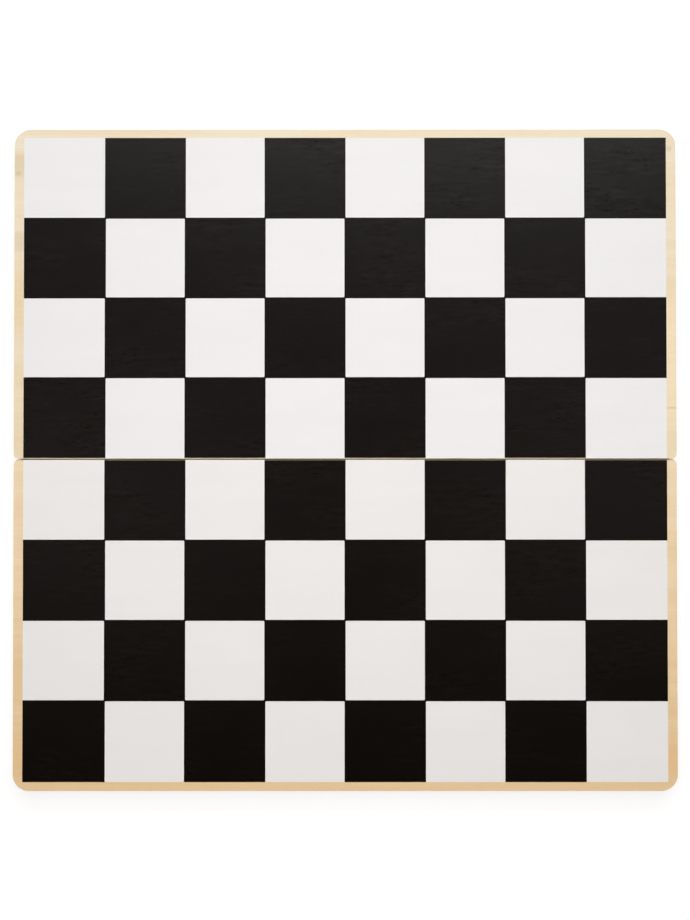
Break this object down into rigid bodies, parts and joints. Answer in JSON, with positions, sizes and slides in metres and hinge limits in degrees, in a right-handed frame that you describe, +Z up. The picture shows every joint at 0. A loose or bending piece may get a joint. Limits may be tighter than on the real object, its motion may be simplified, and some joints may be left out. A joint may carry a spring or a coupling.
{
  "type": "chess and backgammon board",
  "caption": "Folding wooden game case: a chess board printed on the outside, backgammon points inside the trays, halves joined by butt hinges along the fold.",
  "frame": {"origin": "under the middle of the open board, level with the lowest point of the hinge knuckles", "axes": "+X along the fold to the right, +Y across the fold to the rear half, +Z up out of the chess squares"},
  "size_m": [0.3396, 0.3388, 0.0235],
  "materials": {
    "plywood": "clear satin lacquer on pale birch plywood",
    "wall_wood": "clear satin lacquer on pale solid wood",
    "dark_ink": "satin black-brown printing ink",
    "white_ink": "satin white printing ink",
    "hinge_brass": "rolled brass, lightly worn",
    "screw_brass": "brass-plated screws",
    "magnet_nickel": "nickel-plated disc magnets"
  },
  "bodies": {
    "front_half": {"front_outer_wall": "wall_wood", "front_hinge_wall": "wall_wood", "front_left_wall": "wall_wood", "front_right_wall": "wall_wood", "front_panel": "plywood", "front_dark_squares": "dark_ink", "front_white_squares": "white_ink", "front_dark_points": "dark_ink", "front_white_points": "white_ink", "front_magnets": "magnet_nickel", "front_hinge_screws": "screw_brass", "left_hinge_front_leaf": "hinge_brass", "left_hinge_pin": "hinge_brass", "right_hinge_front_leaf": "hinge_brass", "right_hinge_pin": "hinge_brass"},
    "rear_half": {"rear_outer_wall": "wall_wood", "rear_hinge_wall": "wall_wood", "rear_left_wall": "wall_wood", "rear_right_wall": "wall_wood", "rear_panel": "plywood", "rear_dark_squares": "dark_ink", "rear_white_squares": "white_ink", "rear_dark_points": "dark_ink", "rear_white_points": "white_ink", "rear_magnets": "magnet_nickel", "rear_hinge_screws": "screw_brass", "left_hinge_rear_leaf": "hinge_brass", "right_hinge_rear_leaf": "hinge_brass"}
  },
  "joints": [
    {"name": "fold", "type": "hinge", "parent": "front_half", "child": "rear_half", "pos_m": [0, 0, 0.0014], "axis": [-1, 0, 0], "range_deg": [0, 180]}
  ]
}
